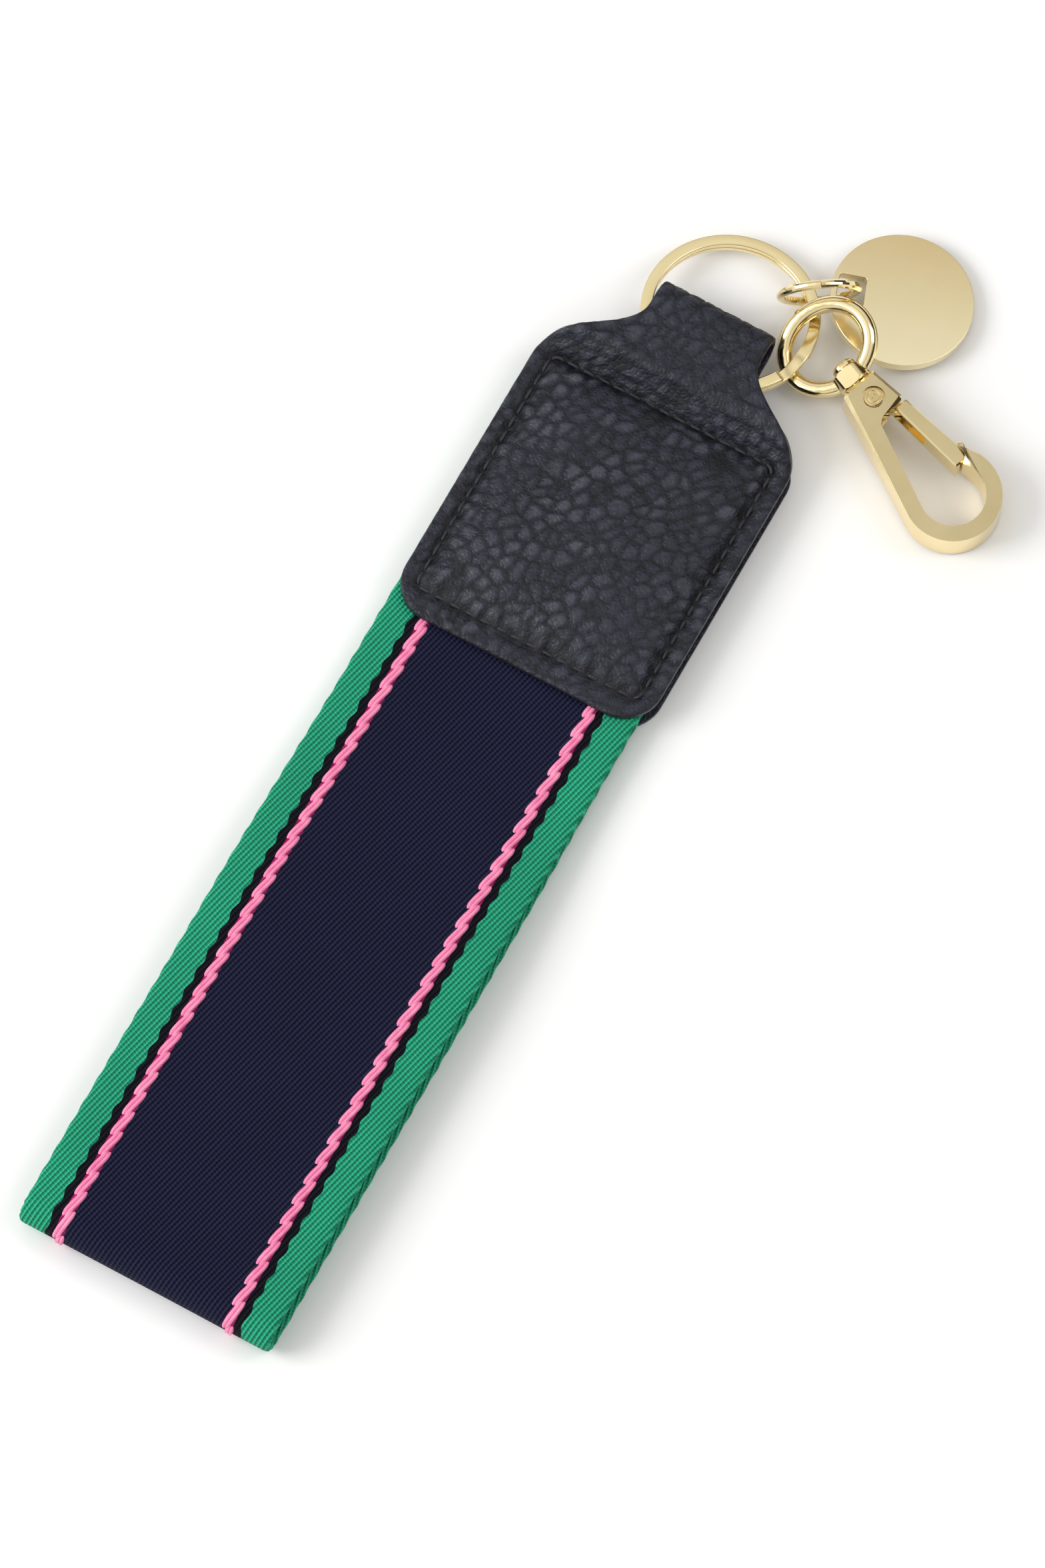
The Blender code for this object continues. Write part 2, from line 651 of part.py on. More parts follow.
def hook_gate(finish, frame):
    """A channelled bar from beside the head to under the lip, with an eye round the rivet."""
    half = GATE_THICKNESS / 2
    tip = NOSE_END - GAP
    start = HEAD_BOTTOM + GAP
    outline = [(start, gate_out(start) - GATE_WIDTH), (tip, gate_out(tip) - GATE_WIDTH)]
    outline += [(tip, gate_out(tip) - 2 * GAP), (tip - 2 * GAP, gate_out(tip))]
    outline += [(LIP_END, gate_out(LIP_END)), (start, gate_out(start))]
    gate = add("hook_gate", prism(outline, -half, half, 0.3 * MM), finish, frame)

    channel_half = half - GATE_FLANGE
    deep = GATE_WIDTH - GATE_WALL
    low = start - THROUGH
    channel = [(low, gate_out(low) - GATE_WIDTH - THROUGH)]
    channel += [(GATE_CHANNEL_END, gate_out(GATE_CHANNEL_END) - GATE_WIDTH - THROUGH)]
    channel += [(GATE_CHANNEL_END, gate_out(GATE_CHANNEL_END) - GATE_WIDTH + deep)]
    channel += [(low, gate_out(low) - GATE_WIDTH + deep)]
    cut(gate, add("gate_channel", prism(channel, -channel_half, channel_half), None, frame))

    tail_low = -(PLATE / 2 - CHEEK - GAP)
    tail = arc((0, 0), TAIL_RADIUS, math.pi * 0.75, math.pi * 1.75, 10)
    tail += [(start + THROUGH, gate_out(start) - GATE_WALL * 1.6)]
    tail += [(start + THROUGH, gate_out(start) - GATE_WALL / 2)]
    cut(gate, add("gate_tail", prism(tail, tail_low, 0), None, frame), "UNION")
    hole = turned([(-half, RIVET_RADIUS + GAP), (half, RIVET_RADIUS + GAP)], 20)
    bmesh.ops.rotate(hole, verts=hole.verts, matrix=Matrix.Rotation(math.pi / 2, 3, "Y"))
    cut(gate, add("gate_pivot_hole", hole, None, frame))


def gate_spring(finish, frame):
    """A small torsion spring round the rivet: one leg on the head, the other in the gate's channel."""
    radius = RIVET_RADIUS + GAP + SPRING_WIRE / 2
    pitch = SPRING_WIRE * 1.25
    first = GAP + SPRING_WIRE / 2
    begin = math.radians(-100)
    count = 32
    coil = []
    for i in range(count + 1):
        angle = begin + 2 * math.pi * SPRING_TURNS * i / count
        height = first + pitch * SPRING_TURNS * i / count
        coil.append(Vector((radius * math.cos(angle), radius * math.sin(angle), height)))
    last_angle = begin + 2 * math.pi * SPRING_TURNS
    leave = Vector((-math.sin(last_angle), math.cos(last_angle), 0))
    arrive = Vector((math.sin(begin), -math.cos(begin), 0))
    head_leg = [coil[0] + arrive * 1.2 * MM]
    reach = GATE_START + 2.6 * MM
    rest = gate_out(reach) - GATE_WALL - GAP - SPRING_WIRE / 2
    gate_leg = [coil[-1] + leave * 1.2 * MM, Vector((reach, rest, coil[-1].z))]
    add("gate_spring", tube(head_leg + coil + gate_leg, SPRING_WIRE / 2, 6), finish, frame)


# ---------------------------------------------------------------- assembly


def direction(turn, pitch=0.0):
    return Vector((math.cos(turn) * math.cos(pitch), math.sin(turn) * math.cos(pitch), math.sin(pitch)))


def tilted(centre, along, across, radius, turn):
    """A point on a circle that lies in the plane of along and across."""
    return centre + (along * math.cos(turn) + across * math.sin(turn)) * radius


def build():
    for old in list(bpy.data.objects):
        bpy.data.objects.remove(old)

    webbing = material("navy_webbing", (0.010, 0.012, 0.040), 0.85)
    leather = material("navy_leather", (0.022, 0.025, 0.045), 0.55)
    foam = material("grey_foam", (0.35, 0.35, 0.36), 0.95)
    thread = material("navy_thread", (0.02, 0.022, 0.04), 0.6)
    gold = material("pale_gold", (0.80, 0.66, 0.38), 0.22, 1.0)
    satin_gold = material("satin_gold", (0.76, 0.64, 0.38), 0.38, 1.0)
    steel = material("spring_steel", (0.45, 0.45, 0.46), 0.3, 1.0)

    leather_tab(leather)
    foam_pad(foam)
    seam_thread("seam_thread_front", FRONT_TOP, thread)
    seam_thread("seam_thread_back", THREAD / 2 + GAP / 4, thread)
    strap_tails(webbing)
    wrist_strap(webbing)

    ring_along = Vector((1, 0, 0))
    ring_across = Vector((0, math.cos(RING_TILT), -math.sin(RING_TILT)))
    key_ring(gold, empty("ring_frame", RING_CENTRE, ring_along, ring_across))

    jump_along = direction(JUMP_TURN)
    jump_up = Vector((math.sin(JUMP_TURN) * math.sin(JUMP_LEAN),
                      -math.cos(JUMP_TURN) * math.sin(JUMP_LEAN), math.cos(JUMP_LEAN)))
    jump_link = tilted(RING_CENTRE, ring_along, ring_across, RING_MEAN, JUMP_ON_RING)
    jump_reach = JUMP_RADIUS - JUMP_WIRE / 2 - RING_COIL - RING_COIL_GAP / 2 - JUMP_ROOM
    jump_centre = jump_link + JUMP_FROM_RING.normalized() * jump_reach
    jump_ring(gold, empty("jump_frame", jump_centre, jump_along, jump_up))

    downhill = direction(DISC_TILT_TURN)
    disc_normal = downhill * math.sin(DISC_TILT) + Vector((0, 0, math.cos(DISC_TILT)))
    to_slot = direction(SLOT_TURN)
    to_slot = (to_slot - disc_normal * to_slot.dot(disc_normal)).normalized()
    slot_side = disc_normal.cross(to_slot)
    disc_link = tilted(jump_centre, jump_along, jump_up, JUMP_RADIUS, DISC_ON_JUMP)
    disc_centre = disc_link - to_slot * (SLOT_FROM_CENTRE - SLOT_PLAY.x) + slot_side * SLOT_PLAY.y
    disc_charm(satin_gold, empty("disc_frame", disc_centre, to_slot, slot_side))

    along = direction(CLASP_TURN, -CLASP_PITCH)
    across = Vector((0, 0, 1)).cross(along).normalized()
    normal = along.cross(across)
    eye_link = tilted(RING_CENTRE, ring_along, ring_across, RING_MEAN, EYE_ON_RING)
    eye_reach = EYE_SHORT - EYE_WIRE / 2 - RING_BAND / 2 - EYE_ROOM
    eye_centre = eye_link + EYE_FROM_RING.normalized() * eye_reach
    eye_across = across * math.cos(EYE_ROLL) + normal * math.sin(EYE_ROLL)
    clasp_eye(gold, empty("eye_frame", eye_centre, along, eye_across))
    clasp = empty("clasp_frame", eye_centre + along * (EYE_SHORT - barrel_middle()), along, across)
    swivel_pin(gold, clasp)
    hook_body(gold, clasp)
    hook_gate(gold, clasp)
    gate_pin(gold, clasp)
    gate_spring(steel, clasp)


build()
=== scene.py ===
"""Looks of a wristlet keychain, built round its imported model: woven strap, grained leather, plated metal."""

import math

import bpy
import numpy as np
from mathutils import Matrix, Vector


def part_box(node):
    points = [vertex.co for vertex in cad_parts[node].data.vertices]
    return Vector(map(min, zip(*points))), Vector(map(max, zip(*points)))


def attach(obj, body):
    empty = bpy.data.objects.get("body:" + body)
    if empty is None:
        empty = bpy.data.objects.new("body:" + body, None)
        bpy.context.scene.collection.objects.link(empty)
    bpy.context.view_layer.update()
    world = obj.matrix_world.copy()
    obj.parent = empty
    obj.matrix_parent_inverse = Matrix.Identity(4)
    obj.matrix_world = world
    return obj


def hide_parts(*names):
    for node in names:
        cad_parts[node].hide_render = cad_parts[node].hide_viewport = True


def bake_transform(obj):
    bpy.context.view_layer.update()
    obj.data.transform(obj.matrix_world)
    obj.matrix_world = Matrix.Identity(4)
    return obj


MM = 0.001

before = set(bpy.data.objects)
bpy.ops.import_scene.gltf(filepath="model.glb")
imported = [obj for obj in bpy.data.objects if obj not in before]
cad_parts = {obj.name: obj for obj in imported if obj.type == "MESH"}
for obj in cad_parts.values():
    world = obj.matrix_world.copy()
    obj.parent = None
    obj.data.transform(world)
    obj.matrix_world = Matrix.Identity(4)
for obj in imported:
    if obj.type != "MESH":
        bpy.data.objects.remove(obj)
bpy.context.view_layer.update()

# ---------------------------------------------------------------- sizes shared with the CAD

LEATHER = 1.4 * MM
TAB_FOLD_Y = 44.7 * MM
TAB_BOTTOM_Y = -32.3 * MM
TAB_HALF = 25.9 * MM
TAB_CORNER = 7.5 * MM
NECK_HALF = 11.3 * MM
SHOULDER_MIDDLE = 14.4 * MM
SHOULDER_LENGTH = 18.5 * MM
NECK_HEIGHT = 7.0 * MM
FOLD_RADIUS = 3.3 * MM
FOLD_CENTRE_Y = TAB_FOLD_Y - FOLD_RADIUS - LEATHER / 2
FRONT_INNER = 5.2 * MM
FRONT_TOP = FRONT_INNER + LEATHER
RAMP_START_Y = 23.2 * MM
RAMP_END_Y = 29.0 * MM
SEAM_HALF = 22.6 * MM
SEAM_LOW_Y = -27.4 * MM
SEAM_HIGH_Y = 23.0 * MM
SEAM_CORNER = 1.6 * MM
SEAM_MIDDLE_Y = (SEAM_LOW_Y + SEAM_HIGH_Y) / 2
SEAM_HALF_LENGTH = (SEAM_HIGH_Y - SEAM_LOW_Y) / 2
PAD_RISE = 2.5 * MM
PAD_SIDE_INSET = 4.1 * MM
PAD_END_INSET = 4.8 * MM

WEB_HALF = 25.0 * MM
WEB_X = -0.9 * MM
WEB_THICKNESS = 1.6 * MM
FLEX_Y = -38.3 * MM
FLEX_Z = 3.3 * MM
KNUCKLE = 1.6 * MM
TAIL_TOP_Y = 20.5 * MM
LOOP_FOLD_Y = -159.85 * MM
LOOP_OPEN_Y = -100.3 * MM
LOOP_FLOOR_Y = -75.3 * MM
LOOP_OPEN_GAP = 4.7 * MM

RING_OUTER = 16.2 * MM
RING_BAND = 2.1 * MM
RING_COIL = 1.05 * MM
RING_COIL_GAP = 0.1 * MM
RING_STEP_ANGLE = math.radians(26)
RING_TILT = math.radians(9.5)
RING_MEAN = RING_OUTER - RING_BAND / 2
RING_CENTRE = Vector((1.5 * MM, 29.25 * MM + RING_OUTER * math.cos(RING_TILT),
                      7.83 * MM - RING_MEAN * math.sin(RING_TILT)))

# ---------------------------------------------------------------- sizes of the surface detail

STITCH_PITCH = 3.1 * MM
STITCH_RADIUS = 0.28 * MM
STITCH_SUNK = 0.58 * MM
CELL_SIZE = 2.55 * MM
SMALL_CELL_SIZE = 1.15 * MM
RIM_STEPS = np.array([0.0, 0.1, 0.25, 0.5, 0.85]) * MM
WEB_RIM_STEPS = np.array([0.0, 0.12, 0.35, 0.7]) * MM

RIB_PITCH = 0.82 * MM
BEAD_PITCH = 0.62 * MM
GREEN_SHARE = 0.110
DARK_SHARE = 0.141
PINK_SHARE = 0.174
LINK_SHARE = 0.160
LINK_PITCH = 4.2 * MM
LINK_LENGTH = 6.2 * MM
YARN_RADIUS = 0.41 * MM
YARN_APART = 0.37 * MM


# ---------------------------------------------------------------- noise and mesh helpers


def smooth(share):
    share = np.clip(share, 0.0, 1.0)
    return share * share * (3 - 2 * share)


def smoother(share):
    share = np.clip(share, 0, 1)
    return share ** 3 * (share * (6 * share - 15) + 10)


def path_frame(path):
    """The normal at each point of a (y, z) path, and how far along the path the point is."""
    ahead = np.gradient(path, axis=0)
    ahead /= np.linalg.norm(ahead, axis=1)[:, None]
    normal = np.stack([-ahead[:, 1], ahead[:, 0]], 1)
    return normal, travelled(path)


def travelled(path):
    return np.concatenate([[0], np.cumsum(np.linalg.norm(np.diff(path, axis=0), axis=1))])


def soft_noise(x, y, size, seed):
    """Smooth noise from 0 to 1 with features about size across."""
    table = np.random.default_rng(seed).random((64, 64))
    u, v = x / size, y / size
    i, j = np.floor(u).astype(int), np.floor(v).astype(int)
    fu, fv = smooth(u - i), smooth(v - j)
    a, b = table[i % 64, j % 64], table[(i + 1) % 64, j % 64]
    c, d = table[i % 64, (j + 1) % 64], table[(i + 1) % 64, (j + 1) % 64]
    return (a * (1 - fu) + b * fu) * (1 - fv) + (c * (1 - fu) + d * fu) * fv


def cell_edge(x, y, size, seed):
    """Distance from the nearest border of a scatter of cells, in cell sizes."""
    jitter = np.random.default_rng(seed).random((128, 128, 2))
    u, v = x / size, y / size
    i, j = np.floor(u).astype(int), np.floor(v).astype(int)
    near = np.full(u.shape, 9.0)
    second = np.full(u.shape, 9.0)
    for di in (-1, 0, 1):
        for dj in (-1, 0, 1):
            point = jitter[(i + di) % 128, (j + dj) % 128]
            away = np.hypot(i + di + point[..., 0] - u, j + dj + point[..., 1] - v)
            second = np.minimum(second, np.maximum(near, away))
            near = np.minimum(near, away)
    return second - near


def piece(name, verts, faces, materials, indices=None, uvs=None, values=None):
    """A smooth mesh object, face materials, UVs per vertex and named point values."""
    mesh = bpy.data.meshes.new(name)
    mesh.from_pydata([tuple(v) for v in np.asarray(verts, float)], [],
                     [tuple(int(i) for i in f) for f in faces])
    for made in materials:
        mesh.materials.append(made)
    if indices is not None:
        mesh.polygons.foreach_set("material_index", np.asarray(indices, np.int32))
    if uvs is not None:
        layer = mesh.uv_layers.new(name="UVMap")
        corner = np.zeros(len(mesh.loops), np.int32)
        mesh.loops.foreach_get("vertex_index", corner)
        layer.data.foreach_set("uv", np.asarray(uvs, np.float32)[corner].ravel())
    for key, value in (values or {}).items():
        attribute = mesh.attributes.new(key, "FLOAT", "POINT")
        attribute.data.foreach_set("value", np.asarray(value, np.float32).ravel())
    mesh.shade_smooth()
    mesh.update()
    made = bpy.data.objects.new(name, mesh)
    bpy.context.scene.collection.objects.link(made)
    return made


def grid_faces(rows, columns, first=0, flip=False):
    faces = []
    for r in range(rows - 1):
        for c in range(columns - 1):
            a = first + r * columns + c
            quad = (a, a + 1, a + columns + 1, a + columns)
            faces.append(quad[::-1] if flip else quad)
    return faces


def slab(outer, inner):
    """Two skins of points closed into one body: its vertices, faces, and a 1 for each face of the rim."""
    rows, columns = outer.shape[:2]
    count = rows * columns
    verts = np.concatenate([outer.reshape(-1, 3), inner.reshape(-1, 3)])
    faces = grid_faces(rows, columns) + grid_faces(rows, columns, count, flip=True)
    rim = []
    for r in range(rows - 1):
        a, b = r * columns, (r + 1) * columns
        rim.append((a, b, b + count, a + count))
        a, b = a + columns - 1, b + columns - 1
        rim.append((b, a, a + count, b + count))
    for c in range(columns - 1):
        rim.append((c + 1, c, c + count, c + 1 + count))
        a = (rows - 1) * columns + c
        rim.append((a, a + 1, a + 1 + count, a + count))
    return verts, faces + rim, [0] * len(faces) + [1] * len(rim)


def tubes(name, paths, radius, sides, material):
    """Round tubes with narrowed ends, along paths of points, all in one piece."""
    verts, faces = [], []
    for path in paths:
        points = np.asarray(path, float)
        along = np.gradient(points, axis=0)
        along /= np.linalg.norm(along, axis=1)[:, None]
        side = np.cross(along, (0.0, 0.0, 1.0))
        weak = np.linalg.norm(side, axis=1) < 0.2
        side[weak] = (1.0, 0.0, 0.0)
        side -= along * np.sum(side * along, axis=1)[:, None]
        side /= np.linalg.norm(side, axis=1)[:, None]
        up = np.cross(side, along)
        size = np.full(len(points), radius)
        size[0] = size[-1] = radius * 0.35
        size[1] = size[-2] = radius * 0.85
        first = len(verts)
        for p, s, u, r in zip(points, side, up, size):
            for k in range(sides):
                turn = 2 * math.pi * k / sides
                verts.append(p + s * math.cos(turn) * r + u * math.sin(turn) * r)
        for i in range(len(points) - 1):
            for k in range(sides):
                a, b = first + i * sides + k, first + i * sides + (k + 1) % sides
                faces.append((a, b, b + sides, a + sides))
        faces.append(tuple(first + k for k in range(sides))[::-1])
        last = first + (len(points) - 1) * sides
        faces.append(tuple(last + k for k in range(sides)))
    return piece(name, verts, faces, [material])


# ---------------------------------------------------------------- materials


class Nodes:
    """Short calls for building a node tree."""

    def __init__(self, name, owner=None):
        self.material = owner or bpy.data.materials.new(name)
        self.material.use_nodes = True
        self.tree = self.material.node_tree
        self.shader = self.tree.nodes.get("Principled BSDF")

    def node(self, kind, **settings):
        made = self.tree.nodes.new(kind)
        for key, value in settings.items():
            setattr(made, key, value)
        return made

    def link(self, source, target):
        if isinstance(source, (int, float)):
            target.default_value = source
        else:
            self.tree.links.new(source, target)

    def math(self, operation, *values, clamp=False):
        made = self.node("ShaderNodeMath", operation=operation, use_clamp=clamp)
        for value, target in zip(values, made.inputs):
            self.link(value, target)
        return made.outputs[0]

    def ramp(self, factor, stops):
        made = self.node("ShaderNodeValToRGB")
        points = made.color_ramp.elements
        for i, (position, colour) in enumerate(stops):
            element = points[i] if i < 2 else points.new(position)
            element.position = position
            element.color = (*colour, 1.0)
        self.link(factor, made.inputs["Fac"])
        return made.outputs["Color"]

    def mix(self, factor, first, second):
        made = self.node("ShaderNodeMix", data_type="RGBA")
        self.link(factor, made.inputs["Factor"])
        for value, target in ((first, made.inputs["A"]), (second, made.inputs["B"])):
            if isinstance(value, tuple):
                target.default_value = (*value, 1.0)
            else:
                self.tree.links.new(value, target)
        return made.outputs["Result"]

    def between(self, value, low, high):
        """value from 0 to 1, moved to lie from low to high."""
        return self.math("ADD", self.math("MULTIPLY", value, high - low), low)

    def noise(self, scale, detail=2.0, vector=None, distortion=0.0):
        made = self.node("ShaderNodeTexNoise")
        made.inputs["Scale"].default_value = scale
        made.inputs["Detail"].default_value = detail
        made.inputs["Distortion"].default_value = distortion
        self.tree.links.new(vector or self.place(), made.inputs["Vector"])
        return made.outputs["Fac"]

    def place(self):
        """Where a point is on its object, in metres."""
        return self.node("ShaderNodeTexCoord").outputs["Object"]

    def stretched(self, scale):
        made = self.node("ShaderNodeMapping")
        made.inputs["Scale"].default_value = scale
        self.tree.links.new(self.place(), made.inputs["Vector"])
        return made.outputs["Vector"]

    def bump(self, height, distance, strength=1.0, below=None):
        made = self.node("ShaderNodeBump")
        made.inputs["Distance"].default_value = distance
        made.inputs["Strength"].default_value = strength
        self.link(height, made.inputs["Height"])
        if below is not None:
            self.tree.links.new(below, made.inputs["Normal"])
        return made.outputs["Normal"]

    def set(self, **values):
        for key, value in values.items():
            target = self.shader.inputs[key.replace("_", " ")]
            if isinstance(value, tuple):
                target.default_value = (*value, 1.0)
            else:
                self.link(value, target)
        return self.material


def webbing_material():
    """Navy webbing: diagonal ribs, a green band and a dark line along each edge. Every band is painted lighter
    on the rib crests and darker in the grooves between them.
    """
    n = Nodes("striped_webbing")
    width = 2 * WEB_HALF
    place = n.node("ShaderNodeSeparateXYZ")
    n.tree.links.new(n.node("ShaderNodeTexCoord").outputs["UV"], place.inputs["Vector"])
    across, along = place.outputs["X"], place.outputs["Y"]

    slant = n.math("MULTIPLY", along, 0.253)
    turns = n.math("MULTIPLY", n.math("SUBTRACT", across, slant), 2 * math.pi * width / RIB_PITCH)
    rib = n.math("ADD", n.math("MULTIPLY", n.math("SINE", turns), 0.5), 0.5)
    beads = n.math("ADD", n.math("MULTIPLY", along, 2 * math.pi * width / BEAD_PITCH),
                   n.math("MULTIPLY", turns, 0.5))
    bead = n.math("ADD", n.math("MULTIPLY", n.math("SINE", beads), 0.5), 0.5)
    fuzz = n.noise(2600.0, 3.0)
    patch = n.noise(55.0, 2.0)
    height = n.math("ADD", rib, n.math("MULTIPLY", bead, 0.3))
    height = n.math("ADD", height, n.math("MULTIPLY", fuzz, 0.35))

    wave = n.math("SINE", n.math("MULTIPLY", along, 2 * math.pi * width / LINK_PITCH))
    from_edge = n.math("SUBTRACT", 0.5, n.math("ABSOLUTE", n.math("SUBTRACT", across, 0.5)))
    wavy = n.math("ADD", from_edge, n.math("MULTIPLY", wave, 0.005))
    # Painted light and shade: each band runs from its shaded tone in the rib grooves to its lit tone on the
    # crests, following the bump height.
    lit = n.math("ADD", n.math("MULTIPLY", rib, 0.75), n.math("MULTIPLY", bead, 0.25))
    navy = n.mix(lit, (0.0004, 0.0005, 0.006), (0.0210, 0.0240, 0.074))
    green = n.mix(lit, (0.003, 0.17, 0.088), (0.040, 0.53, 0.30))
    dark = n.mix(lit, (0.001, 0.001, 0.004), (0.006, 0.006, 0.014))
    pink = n.mix(lit, (0.30, 0.006, 0.09), (0.55, 0.025, 0.18))
    is_green = n.math("LESS_THAN", wavy, GREEN_SHARE)
    is_dark = n.math("LESS_THAN", from_edge, DARK_SHARE)
    is_pink = n.math("LESS_THAN", wavy, PINK_SHARE)
    colour = n.mix(is_pink, navy, pink)
    colour = n.mix(is_dark, colour, dark)
    colour = n.mix(is_green, colour, green)
    shade = n.between(patch, 0.82, 1.12)
    tint = n.node("ShaderNodeMix", data_type="RGBA", blend_type="MULTIPLY")
    tint.inputs["Factor"].default_value = 1.0
    n.tree.links.new(colour, tint.inputs["A"])
    grey = n.node("ShaderNodeCombineColor")
    for channel in grey.inputs:
        n.link(shade, channel)
    n.tree.links.new(grey.outputs["Color"], tint.inputs["B"])
    n.set(Base_Color=tint.outputs["Result"], Roughness=n.between(fuzz, 0.72, 0.9))
    n.set(Normal=n.bump(height, 0.00036))
    n.shader.inputs["Specular IOR Level"].default_value = 0.14
    n.shader.inputs["Sheen Weight"].default_value = 0.02
    n.shader.inputs["Sheen Roughness"].default_value = 0.4
    return n.material


def yarn_material(name, shade, light, ribs):
    """Twisted yarn: fine slanting fibres and a soft sheen."""
    n = Nodes(name)
    fibre = n.noise(1.0, 3.0, n.stretched((ribs, ribs * 0.35, ribs)), 0.4)
    blotch = n.noise(420.0, 2.0)
    colour = n.mix(n.between(blotch, 0.1, 1.0), shade, light)
    n.set(Base_Color=colour, Roughness=n.between(fibre, 0.55, 0.8), Normal=n.bump(fibre, 0.00012))
    n.shader.inputs["Sheen Weight"].default_value = 0.12
    return n.material


def leather_material():
    """Pebbled navy leather: the cells are in the mesh, their fine wrinkles and pores here. Painted shade
    darkens the cell borders and the seam furrow, and a painted highlight lightens the cell crowns.
    """
    n = Nodes("pebbled_leather")
    painted_crease_shade = n.node("ShaderNodeAttribute", attribute_name="painted_crease_shade").outputs["Fac"]
    painted_crown_highlight = n.node("ShaderNodeAttribute", attribute_name="painted_crown_highlight").outputs["Fac"]
    fine = n.node("ShaderNodeTexVoronoi", feature="DISTANCE_TO_EDGE")
    fine.inputs["Scale"].default_value = 1050.0
    n.tree.links.new(n.place(), fine.inputs["Vector"])
    wrinkle = n.math("MINIMUM", n.math("MULTIPLY", fine.outputs["Distance"], 3.5), 1.0)
    pores = n.noise(5200.0, 3.0)
    patch = n.noise(90.0, 3.0)
    streak = n.noise(1.0, 3.0, n.stretched((900.0, 260.0, 900.0)), 0.8)
    height = n.math("ADD", n.math("MULTIPLY", wrinkle, 0.7), n.math("MULTIPLY", pores, 0.35))
    height = n.math("ADD", height, n.math("MULTIPLY", streak, 0.6))
    colour = n.mix(patch, (0.0055, 0.0068, 0.0145), (0.0150, 0.0178, 0.0330))
    # Painted highlight: lightens the raised cell crowns.
    colour = n.mix(painted_crown_highlight, colour, (0.068, 0.070, 0.092))
    # Painted shade: darkens the cell borders and the seam furrow.
    colour = n.mix(painted_crease_shade, colour, (0.0018, 0.002, 0.0045))
    rough = n.math("ADD", n.between(pores, 0.38, 0.56), n.math("MULTIPLY", painted_crease_shade, 0.18))
    n.set(Base_Color=colour, Roughness=rough, Normal=n.bump(height, 0.00012, 0.9))
    n.shader.inputs["Specular IOR Level"].default_value = 0.4
    return n.material


def edge_paint_material():
    n = Nodes("edge_paint")
    swirl = n.noise(700.0, 3.0)
    colour = n.mix(swirl, (0.014, 0.015, 0.024), (0.030, 0.031, 0.042))
    return n.set(Base_Color=colour, Roughness=n.between(swirl, 0.3, 0.5), Normal=n.bump(swirl, 0.00008))


def gold_material(name, rough, light, shade, lines_bump, swell, painted_light_sweep=None):
    """Pale gold plating with faint polishing lines and handling marks. When a sweep is given, it paints light
    across the part as a gradient from the shaded colour to the lit colour.
    """
    n = Nodes(name)
    lines = n.noise(1.0, 3.0, n.stretched((500.0, 90.0, 500.0)), 0.3)
    smudge = n.noise(120.0, 4.0)
    tint = n.between(smudge, 0.15, 1.0)
    # Painted light: the colour runs from shade to light along a line across the part.
    if painted_light_sweep:
        (x, y), (ahead_x, ahead_y), reach = painted_light_sweep
        axes = n.node("ShaderNodeSeparateXYZ")
        n.tree.links.new(n.place(), axes.inputs["Vector"])
        along_x = n.math("MULTIPLY", n.math("SUBTRACT", axes.outputs["X"], x), ahead_x / reach)
        along_y = n.math("MULTIPLY", n.math("SUBTRACT", axes.outputs["Y"], y), ahead_y / reach)
        across = n.math("ADD", n.math("ADD", along_x, along_y), 0.5, clamp=True)
        tint = n.math("ADD", n.math("MULTIPLY", across, 0.85), n.math("MULTIPLY", smudge, 0.15))
    colour = n.mix(tint, shade, light)
    roughness = n.math("ADD", n.between(lines, *rough), n.math("MULTIPLY", smudge, 0.05))
    shape = n.bump(n.noise(26.0, 1.0), swell)
    return n.set(Base_Color=colour, Metallic=1.0, Roughness=roughness,
                 Normal=n.bump(lines, lines_bump, 0.5, below=shape))


def steel_material():
    n = Nodes("spring_wire")
    lines = n.noise(1.0, 3.0, n.stretched((300.0, 2500.0, 2500.0)), 0.2)
    colour = n.mix(lines, (0.36, 0.36, 0.37), (0.52, 0.52, 0.53))
    return n.set(Base_Color=colour, Metallic=1.0, Roughness=n.between(lines, 0.22, 0.4))


def foam_material():
    n = Nodes("foam")
    pores = n.noise(1800.0, 4.0)
    colour = n.mix(pores, (0.26, 0.26, 0.27), (0.42, 0.42, 0.43))
    return n.set(Base_Color=colour, Roughness=0.95, Normal=n.bump(pores, 0.0003))


# ---------------------------------------------------------------- leather tab


def half_width(y):
    """Half the tab's width at y: neck, shoulders and rounded foot."""
    from_fold = TAB_FOLD_Y - y
    swell = smoother((from_fold - SHOULDER_MIDDLE) / SHOULDER_LENGTH + 0.5)
    half = NECK_HALF + (TAB_HALF - NECK_HALF) * swell
    inward = np.clip(TAB_BOTTOM_Y + TAB_CORNER - y, 0, TAB_CORNER)
    return half - (TAB_CORNER - np.sqrt(TAB_CORNER ** 2 - inward ** 2))


def padding(x, y):
    """How far the pad lifts the front leather."""
    across = np.clip(np.abs(x) / SEAM_HALF, 0, 1)
    along = np.clip(np.abs(y - SEAM_MIDDLE_Y) / SEAM_HALF_LENGTH, 0, 1)
    return PAD_RISE * (1 - across ** 4) * (1 - along ** 4)


def seam_distance(x, y):
    """Signed distance outwards from the line of stitching, and the place along it."""
    qx = np.abs(x) - (SEAM_HALF - SEAM_CORNER)
    qy = np.abs(y - SEAM_MIDDLE_Y) - (SEAM_HALF_LENGTH - SEAM_CORNER)
    outside = np.hypot(np.maximum(qx, 0), np.maximum(qy, 0))
    distance = outside + np.minimum(np.maximum(qx, qy), 0) - SEAM_CORNER
    return distance, np.where(qx > qy, y, x)


